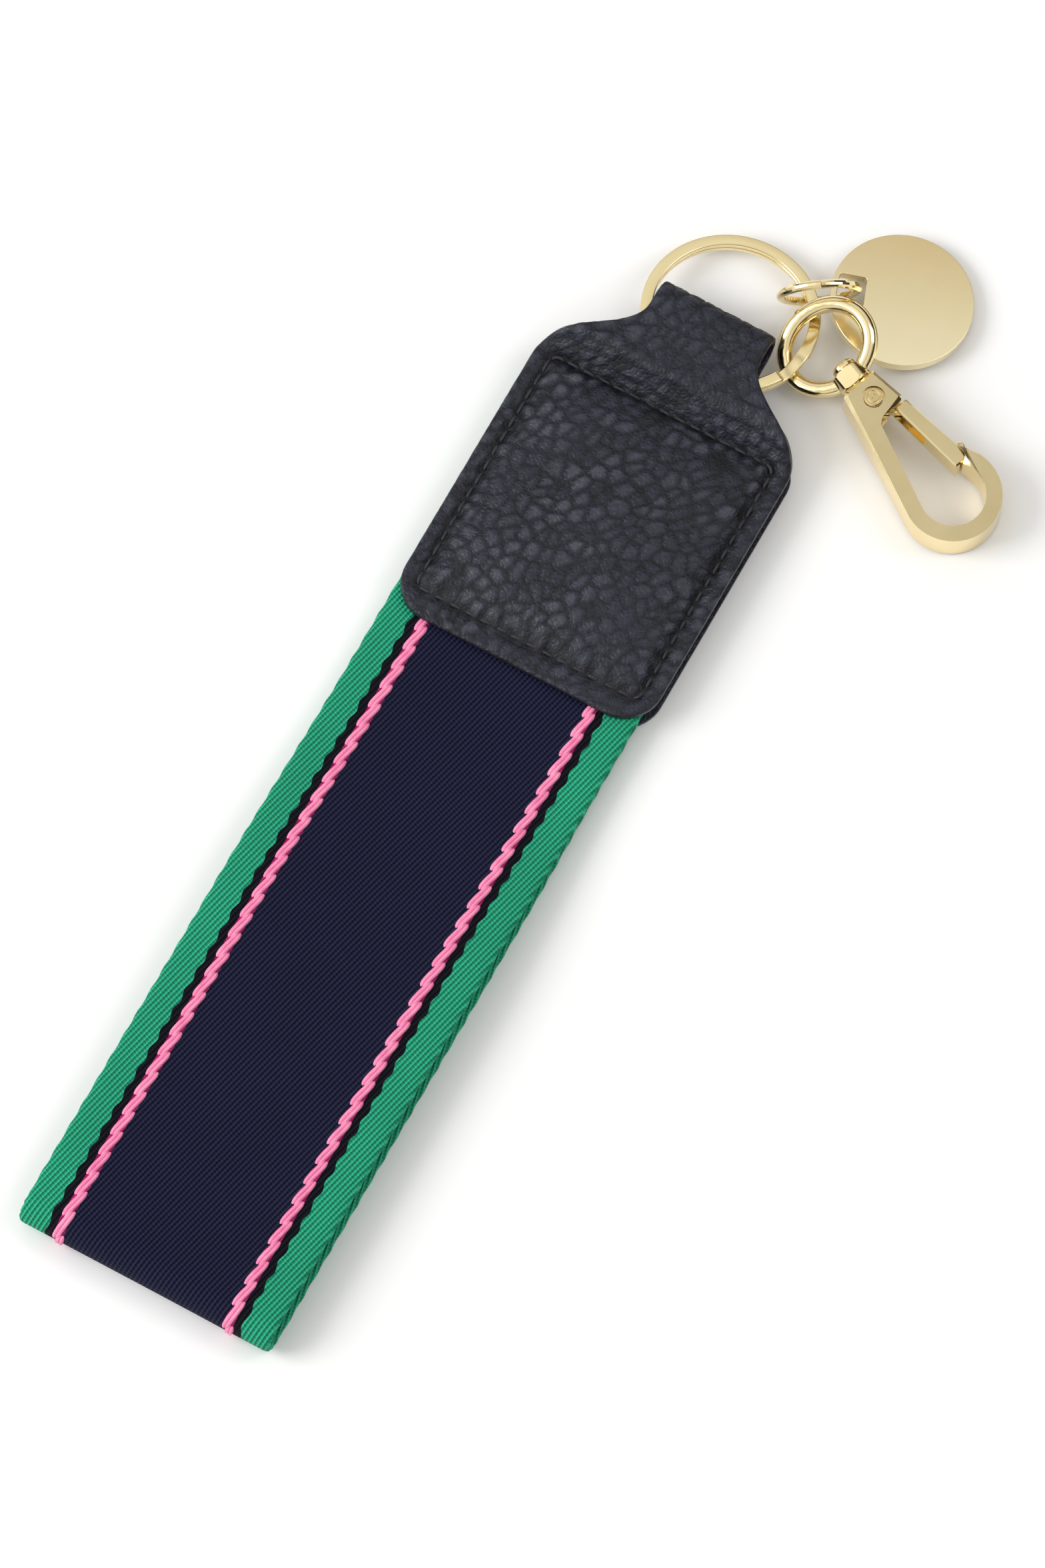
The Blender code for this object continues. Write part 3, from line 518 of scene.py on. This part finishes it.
def tab_path():
    """(y, z) along the leather's middle, from back foot over the fold to front foot.

    Also the rows where the fold and the front start.
    """
    step = 0.42 * MM
    count = int((FOLD_CENTRE_Y - TAB_BOTTOM_Y) / step)
    near_foot = TAB_CORNER * (1 - np.cos(np.linspace(0.03, 1.0, 12) * math.pi / 2))
    rest = np.linspace(TAB_BOTTOM_Y + TAB_CORNER, FOLD_CENTRE_Y, count)[1:]
    y = np.concatenate([TAB_BOTTOM_Y + near_foot, rest])
    back_rise = NECK_HEIGHT - FOLD_RADIUS - LEATHER / 2
    front_rise = NECK_HEIGHT + FOLD_RADIUS - (FRONT_TOP - LEATHER / 2)
    reach = RAMP_END_Y - RAMP_START_Y
    back_z = LEATHER / 2 + back_rise * smooth((y - RAMP_START_Y) / (reach * 1.5))
    front_z = FRONT_TOP - LEATHER / 2 + front_rise * smooth((y - RAMP_START_Y) / reach)
    turn = np.radians(np.linspace(-90, 90, 30)[1:-1])
    fold_y = FOLD_CENTRE_Y + FOLD_RADIUS * np.cos(turn)
    fold_z = NECK_HEIGHT + FOLD_RADIUS * np.sin(turn)
    path = np.concatenate([np.stack([y, back_z], 1), np.stack([fold_y, fold_z], 1),
                           np.stack([y, front_z], 1)[::-1]])
    return path, len(y), len(y) + len(fold_y)


def tab_columns(half):
    """Places across a row, closer together at both rims."""
    inner = np.linspace(-1, 1, 105)[1:-1] * (half - 1.2 * MM)
    return np.concatenate([-half + RIM_STEPS, inner, (half - RIM_STEPS)[::-1]])


def leather_tab(leather, paint):
    """The folded strip of leather, with its cells, seam furrow, puckers and wrinkles in the mesh."""
    path, fold_from, front_from = tab_path()
    normal, travel = path_frame(path)
    normal = -normal
    x = np.stack([tab_columns(float(half_width(y))) for y in path[:, 0]])
    y = np.repeat(path[:, :1], x.shape[1], 1)
    s = np.repeat(travel[:, None], x.shape[1], 1)
    rows = np.arange(len(path))[:, None] + np.zeros_like(x)
    front = rows >= front_from
    in_fold = (rows >= fold_from) & ~front

    grain = math.radians(29)
    a = (x * math.cos(grain) + s * math.sin(grain))
    b = (-x * math.sin(grain) + s * math.cos(grain)) / 1.3
    bend_a = a + 1.1 * MM * (soft_noise(a, b, 4 * MM, 3) - 0.5)
    bend_b = b + 1.1 * MM * (soft_noise(a, b, 4 * MM, 4) - 0.5)
    border = cell_edge(bend_a, bend_b, CELL_SIZE, 7)
    small = cell_edge(bend_a, bend_b, SMALL_CELL_SIZE, 8)
    strength = 0.55 + 0.6 * soft_noise(a, b, 9 * MM, 11)
    pebble = (1 - np.exp(-(border / 0.24) ** 2)) * 0.24 * MM * strength
    pebble += (1 - np.exp(-(small / 0.25) ** 2)) * 0.07 * MM

    distance, along = seam_distance(x, y)
    hold = np.where(front, 1.0, np.where(in_fold, 0.0, 0.6))
    uneven = soft_noise(x, s, 2.2 * MM, 61)
    furrow = -(0.55 + 0.5 * uneven) * MM * np.exp(-(distance / ((0.6 + 0.5 * uneven) * MM)) ** 2)
    gather = np.cos(2 * math.pi * along / STITCH_PITCH + 3 * uneven)
    pucker = 0.24 * MM * gather * np.exp(-((distance + 0.8 * MM) / (1.4 * MM)) ** 2)
    slope = np.exp(-((distance + 3.6 * MM) / (3.0 * MM)) ** 2) * front
    long_a, long_b = x * 0.94 + s * 0.34, (-x * 0.34 + s * 0.94) / 5.0
    ridge = 1 - np.abs(2 * soft_noise(long_a, long_b, 1.7 * MM, 21) - 1)
    wrinkle = (ridge ** 2 - 0.4) * 0.42 * MM * slope
    neck = np.where(front, np.exp(-((y - 27.5 * MM) / (3.5 * MM)) ** 2), 0)
    cross = 1 - np.abs(2 * soft_noise(x / 4.0, y, 1.9 * MM, 25) - 1)
    wrinkle += (cross ** 2 - 0.4) * 0.36 * MM * neck
    swell = (soft_noise(x, y, 13 * MM, 31) - 0.5) * 0.5 * MM * np.where(front & (distance < 0), 1, 0)
    swell *= np.clip(-distance / (6 * MM), 0, 1)

    rim_drop = np.interp(half_width(y) - np.abs(x), RIM_STEPS,
                         np.array([-0.55, -0.32, -0.15, -0.04, 0.0]) * MM)
    foot = np.clip(y - TAB_BOTTOM_Y, 0, 1)
    rim_drop += np.interp(foot, np.array([0, 0.1, 0.3, 0.8]) * MM,
                          np.array([-0.5, -0.3, -0.12, 0.0]) * MM)
    relief = np.where(front | in_fold, 1.0, 0.35) * (pebble - 0.19 * MM)
    relief = relief + (furrow + pucker) * hold + wrinkle + swell + np.maximum(rim_drop, -0.62 * MM)
    relief = np.maximum(relief, -1.05 * MM)
    relief = np.where(front | in_fold, relief, np.minimum(relief, 0.0))
    lift = np.where(front, padding(x, y), 0.0)

    def skin(offset):
        ny, nz = normal[:, :1], normal[:, 1:]
        return np.stack([x, y + ny * offset, path[:, 1:] + nz * offset + lift], -1)

    outer = skin(LEATHER / 2 + relief)
    inner = skin(np.full_like(x, -LEATHER / 2) + 0.02 * MM)
    verts, faces, rim = slab(inner, outer)
    # Painted shade in the creases: near 1 in the cell borders and along the seam furrow, where the leather
    # colour is darkened.
    painted_crease_shade = np.clip(1 - border / 0.22, 0, 1) * 1.15 + np.clip(1 - small / 0.15, 0, 1) * 0.35
    painted_crease_shade = np.clip(painted_crease_shade * strength + np.exp(-(distance / (0.85 * MM)) ** 2) * hold, 0, 1)
    # Painted highlight on the cell crowns: the raised middles of the cells are lightened in patches, less
    # outside the seam.
    painted_crown_highlight = smooth((border - 0.25) * 2.4) * soft_noise(a, b, 6 * MM, 41) * 0.9
    painted_crown_highlight = np.clip(painted_crown_highlight * np.where(distance < 0, 1.0, 0.7), 0, 1)
    none = np.zeros(x.size)
    values = {"painted_crease_shade": np.concatenate([none, painted_crease_shade.ravel()]),
              "painted_crown_highlight": np.concatenate([none, painted_crown_highlight.ravel()])}
    tab = piece("tab_leather", verts, faces, [leather, paint], rim, values=values)
    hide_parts("leather_tab")
    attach(tab, "tab")


def stitches(name, node, thread, side):
    """Separate stitches round the seam, each dipping into its holes."""
    r = SEAM_CORNER
    out_x, out_y = SEAM_HALF - r, SEAM_HALF_LENGTH - r
    corners = [(out_x, out_y, 0), (-out_x, out_y, 90), (-out_x, -out_y, 180), (out_x, -out_y, 270)]
    outline = []
    for cx, cy, start in corners:
        for step in range(9):
            turn = math.radians(start + 90 * step / 8)
            outline.append((cx + r * math.cos(turn), SEAM_MIDDLE_Y + cy + r * math.sin(turn)))
    outline = np.array(outline + outline[:1])
    travel = travelled(outline)
    count = int(round(travel[-1] / STITCH_PITCH))
    pitch = travel[-1] / count
    wobble = np.random.default_rng(5 if side > 0 else 6).random((count, 2)) - 0.5
    paths = []
    for i in range(count):
        share = np.linspace(0.1, 0.9, 9)
        place = (i + share) * pitch
        sx = np.interp(place, travel, outline[:, 0]) + wobble[i, 0] * 0.12 * MM
        sy = np.interp(place, travel, outline[:, 1]) + (share - 0.5) * wobble[i, 1] * 0.3 * MM
        dip = np.abs(2 * share - 1) ** 2.4 * 0.55 * MM
        if side > 0:
            sz = FRONT_TOP - STITCH_SUNK - dip
        else:
            sz = 0.42 * MM + dip
        paths.append(np.stack([sx, sy, np.broadcast_to(sz, sx.shape)], 1))
    made = tubes(name, paths, STITCH_RADIUS, 8, thread)
    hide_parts(node)
    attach(made, "tab")


def foam_pad(material):
    """The crowned pad under the front leather."""
    half_x, half_y = SEAM_HALF - PAD_SIDE_INSET, SEAM_HALF_LENGTH - PAD_END_INSET
    share = np.sin(np.linspace(-1, 1, 33) * math.pi / 2)
    x, y = np.meshgrid(share * half_x, SEAM_MIDDLE_Y + share * half_y)
    edge = np.minimum(1 - np.abs(x) / half_x, 1 - np.abs(y - SEAM_MIDDLE_Y) / half_y)
    round_off = np.sqrt(np.clip(1 - (1 - np.clip(edge * 12, 0, 1)) ** 2, 0, 1))
    top = FRONT_INNER + (padding(x, y) - 0.45 * MM) * (0.25 + 0.75 * round_off)
    low = np.full_like(x, FRONT_INNER)
    verts, faces, _ = slab(np.stack([x, y, top], -1), np.stack([x, y, low], -1))
    made = piece("tab_pad", verts, faces, [material])
    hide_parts("foam_pad")
    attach(made, "tab")


# ---------------------------------------------------------------- webbing strap


def strap_path():
    """(y, z) along the webbing's middle, from the back tail round the loop to the front tail."""
    half = WEB_THICKNESS / 2
    back_tail = FLEX_Z - KNUCKLE + half
    front_tail = FLEX_Z + KNUCKLE - half
    fold_radius = LOOP_OPEN_GAP / 2 + half
    fold_z = LOOP_OPEN_GAP / 2 + WEB_THICKNESS

    y = np.concatenate([np.arange(TAIL_TOP_Y, LOOP_FOLD_Y, -1.2 * MM), [LOOP_FOLD_Y]])
    low = back_tail + (half - back_tail) * smoother((FLEX_Y - y) / (FLEX_Y - LOOP_FLOOR_Y))
    top_z = 2 * fold_z - half
    high = front_tail + (top_z - front_tail) * smoother((FLEX_Y - y) / (FLEX_Y - LOOP_OPEN_Y))
    turn = np.radians(np.linspace(-90, 90, 18)[1:-1])
    fold = np.stack([LOOP_FOLD_Y - fold_radius * np.cos(turn), fold_z + fold_radius * np.sin(turn)], 1)
    return np.concatenate([np.stack([y, low], 1), fold, np.stack([y, high], 1)[::-1]])


def strap_web(material):
    """The whole webbing, tails and loop, as one sheet; also its flat length."""
    path = strap_path()
    normal, travel = path_frame(path)
    inner_columns = np.linspace(-1, 1, 43)[1:-1] * (WEB_HALF - 1.1 * MM)
    columns = np.concatenate([-WEB_HALF + WEB_RIM_STEPS, inner_columns, (WEB_HALF - WEB_RIM_STEPS)[::-1]])
    thin = np.interp(WEB_HALF - np.abs(columns), WEB_RIM_STEPS, np.array([0.42, 0.66, 0.85, 1.0]))
    x = np.repeat(columns[None, :], len(path), 0)
    s = np.repeat(travel[:, None], len(columns), 1)
    at_edge = (np.abs(x) > WEB_HALF - 0.2 * MM) * np.sign(x)
    scallop = 0.10 * MM * np.sin(2 * math.pi * s / (1.6 * MM)) * at_edge
    clear_of_tab = smooth((np.abs(path[:, :1] - 4 * MM) - 48 * MM) / (30 * MM))
    wave = (soft_noise(x, s, 22 * MM, 51) - 0.5) * 0.25 * MM * clear_of_tab

    def skin(sign):
        offset = sign * WEB_THICKNESS / 2 * thin[None, :] + wave
        return np.stack([x + scallop + WEB_X, path[:, :1] + normal[:, :1] * offset,
                         path[:, 1:] + normal[:, 1:] * offset], -1)

    outer, inner = skin(1.0), skin(-1.0)
    verts, faces, _ = slab(outer, inner)
    uv = np.stack([(x + WEB_HALF) / (2 * WEB_HALF), s / (2 * WEB_HALF)], -1).reshape(-1, 2)
    web = piece("strap_web", verts, faces, [material], uvs=np.concatenate([uv, uv]))
    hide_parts("wrist_strap", "strap_tails")
    return web, float(travel[-1])


def strap_cords(material):
    """The pink lines: slanting links of two yarns, each diving into the webbing under the next."""
    path = strap_path()
    normal, travel = path_frame(path)
    share = np.linspace(0.0, 1.0, 12)
    lean = 0.55 * MM * np.sin(math.pi * (share - 0.5))
    rise = np.sin(math.pi * share) ** 0.45
    paths = []
    for side in (-1, 1):
        centre = WEB_X + side * (0.5 - LINK_SHARE) * 2 * WEB_HALF
        for start in np.arange(0.5 * MM, travel[-1] - LINK_LENGTH - 0.5 * MM, LINK_PITCH):
            s = start + share * LINK_LENGTH
            py, pz = np.interp(s, travel, path[:, 0]), np.interp(s, travel, path[:, 1])
            ny, nz = np.interp(s, travel, normal[:, 0]), np.interp(s, travel, normal[:, 1])
            out = WEB_THICKNESS / 2 - 0.34 * MM + 0.44 * MM * rise
            for apart in (-YARN_APART, YARN_APART):
                x = centre + lean + apart * (0.45 + 0.55 * rise)
                paths.append(np.stack([x, py + ny * out, pz + nz * out], 1))
    return tubes("strap_cords", paths, YARN_RADIUS, 6, material)


# ---------------------------------------------------------------- metalwork


def key_ring(material):
    """The flat strip wound twice round, with soft corners."""
    frame_x, frame_y = Vector((1, 0, 0)), Vector((0, math.cos(RING_TILT), -math.sin(RING_TILT)))
    turn_in = Matrix((frame_x, frame_y, frame_x.cross(frame_y))).transposed()
    bend = 2 * math.pi - RING_STEP_ANGLE
    level = (RING_COIL + RING_COIL_GAP) / 2
    turns = np.concatenate([np.linspace(0, bend, 150)[:-1], np.linspace(bend, 2 * math.pi, 16)[:-1],
                            np.linspace(2 * math.pi, 2 * math.pi + bend, 150)])
    height = -level + 2 * level * smoother((turns - bend) / RING_STEP_ANGLE)
    corner, section = 0.2 * MM, []
    for i, (side_x, side_z) in enumerate(((1, 1), (-1, 1), (-1, -1), (1, -1))):
        for part in np.linspace(0, math.pi / 2, 5):
            turn = part + i * math.pi / 2
            section.append((side_x * (RING_BAND / 2 - corner) + corner * math.cos(turn),
                            side_z * (RING_COIL / 2 - corner) + corner * math.sin(turn)))
    verts, faces, count = [], [], len(section)
    for turn, lift in zip(turns, height):
        for out, up in section:
            reach = RING_MEAN + out
            local = Vector((reach * math.cos(turn), reach * math.sin(turn), lift + up))
            verts.append(RING_CENTRE + turn_in @ local)
    for r in range(len(turns) - 1):
        for k in range(count):
            a, b = r * count + k, r * count + (k + 1) % count
            faces.append((a, a + count, b + count, b))
    faces.append(tuple(range(count)))
    faces.append(tuple(range(len(verts) - count, len(verts)))[::-1])
    ring = piece("split_key_ring", verts, faces, [material])
    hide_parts("key_ring")
    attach(ring, "split_ring")


def finish_metal(node, material, bevel):
    """Gives a CAD node its material and softens its edges."""
    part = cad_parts[node]
    if not part.data.materials:
        part.data.materials.append(material)
    for i in range(len(part.material_slots)):
        part.material_slots[i].material = material
    if bevel:
        weld = part.modifiers.new("weld", "WELD")
        weld.merge_threshold = 0.000002
        flats = part.modifiers.new("whole_flats", "DECIMATE")
        flats.decimate_type = "DISSOLVE"
        flats.angle_limit = math.radians(0.4)
        edge = part.modifiers.new("soft_edges", "BEVEL")
        edge.width = bevel
        edge.segments = 3
        edge.limit_method = "ANGLE"
        edge.angle_limit = math.radians(32)
        even = part.modifiers.new("even_normals", "WEIGHTED_NORMAL")
        even.keep_sharp = False


# ---------------------------------------------------------------- studio


def studio():
    """Camera, pale floor, sky and two soft lights."""
    scene = bpy.context.scene
    scene.view_settings.view_transform = "Standard"
    scene.view_settings.look = "None"

    azimuth, elevation = math.radians(29), math.radians(70)
    right = Vector((math.cos(azimuth), math.sin(azimuth), 0))
    back = Vector((math.sin(azimuth) * math.cos(elevation), -math.cos(azimuth) * math.cos(elevation),
                   math.sin(elevation)))
    up = back.cross(right)
    distance, shown = 2.4, 279.5 * MM
    data = bpy.data.cameras.new("camera")
    data.lens = data.sensor_width * distance / shown
    data.clip_end = 20.0
    camera = bpy.data.objects.new("camera", data)
    aim = right * (-13.95 * MM) + up * (-45.5 * MM)
    turn = Matrix((right, up, back)).transposed().to_4x4()
    camera.matrix_world = Matrix.Translation(aim + back * distance) @ turn
    scene.collection.objects.link(camera)
    scene.camera = camera

    reach = 4.0
    floor_mesh = bpy.data.meshes.new("floor")
    floor_mesh.from_pydata([(-reach, -reach, 0), (reach, -reach, 0), (reach, reach, 0), (-reach, reach, 0)],
                           [], [(0, 1, 2, 3)])
    pale = Nodes("pale_floor")
    floor_mesh.materials.append(pale.set(Base_Color=(0.90, 0.90, 0.90), Roughness=0.9))
    floor = bpy.data.objects.new("floor", floor_mesh)
    floor.location.z = -0.1 * MM
    scene.collection.objects.link(floor)

    world = bpy.data.worlds.new("studio")
    scene.world = world
    world.use_nodes = True
    sky = Nodes("sky", world)
    axes = sky.node("ShaderNodeSeparateXYZ")
    sky.tree.links.new(sky.node("ShaderNodeTexCoord").outputs["Generated"], axes.inputs["Vector"])
    rise = sky.math("MULTIPLY", axes.outputs["Z"], 0.94)
    rise = sky.math("ADD", rise, sky.math("MULTIPLY", axes.outputs["X"], -0.26))
    rise = sky.math("ADD", rise, sky.math("MULTIPLY", axes.outputs["Y"], -0.22))
    room = sky.ramp(rise, [(0.0, (0.05, 0.035, 0.02)), (0.22, (0.09, 0.065, 0.04)),
                           (0.34, (0.62, 0.60, 0.56)), (0.72, (0.92, 0.92, 0.92)),
                           (0.86, (0.55, 0.54, 0.53)), (1.0, (1.15, 1.15, 1.15))])
    sky.tree.links.new(room, world.node_tree.nodes["Background"].inputs["Color"])
    world.node_tree.nodes["Background"].inputs["Strength"].default_value = 1.0

    def softbox(name, place, target, size, power):
        light = bpy.data.lights.new(name, "AREA")
        light.shape = "RECTANGLE"
        light.size, light.size_y = size
        light.energy = power
        lamp = bpy.data.objects.new(name, light)
        lamp.location = place
        lamp.rotation_euler = (Vector(target) - Vector(place)).to_track_quat("-Z", "Y").to_euler()
        scene.collection.objects.link(lamp)

    softbox("key", (-0.85, -0.60, 0.80), (0, -0.04, 0), (0.7, 0.7), 11.0)
    softbox("fill", (0.8, 0.5, 0.9), (0, -0.04, 0), (0.5, 0.9), 3.5)


# ---------------------------------------------------------------- everything together


leather = leather_material()
paint = edge_paint_material()
thread = yarn_material("navy_thread", (0.006, 0.0065, 0.011), (0.024, 0.025, 0.036), 2600.0)
pink_yarn = yarn_material("pink_yarn", (0.72, 0.10, 0.30), (1.0, 0.36, 0.55), 2200.0)
polished = gold_material("polished_gold", (0.07, 0.16), (0.96, 0.82, 0.48), (0.86, 0.68, 0.35),
                         0.000004, 0.0012)
disc_low, disc_high = (Vector(corner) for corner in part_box("disc_charm"))
disc_middle = (disc_low + disc_high) / 2
# The disc's satin gold gets painted light: darker towards -x and +y, lighter towards +x and -y.
satin = gold_material("satin_gold", (0.22, 0.32), (1.0, 0.90, 0.60), (0.74, 0.58, 0.30), 0.000001, 0.0015,
                      painted_light_sweep=((disc_middle.x, disc_middle.y), (0.35, -0.94), 24 * MM))

leather_tab(leather, paint)
stitches("stitches_front", "seam_thread_front", thread, 1)
stitches("stitches_back", "seam_thread_back", thread, -1)
foam_pad(foam_material())

web, web_length = strap_web(webbing_material())
cords = strap_cords(pink_yarn)
for soft in (web, cords):
    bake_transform(soft)

key_ring(polished)
finish_metal("jump_ring", polished, 0)
finish_metal("disc_charm", satin, 0.12 * MM)
finish_metal("clasp_eye", polished, 0.12 * MM)
finish_metal("swivel_pin", polished, 0)
finish_metal("hook_body", polished, 0.2 * MM)
finish_metal("hook_gate", polished, 0.18 * MM)
finish_metal("gate_pin", polished, 0)
finish_metal("gate_spring", steel_material(), 0)

studio()
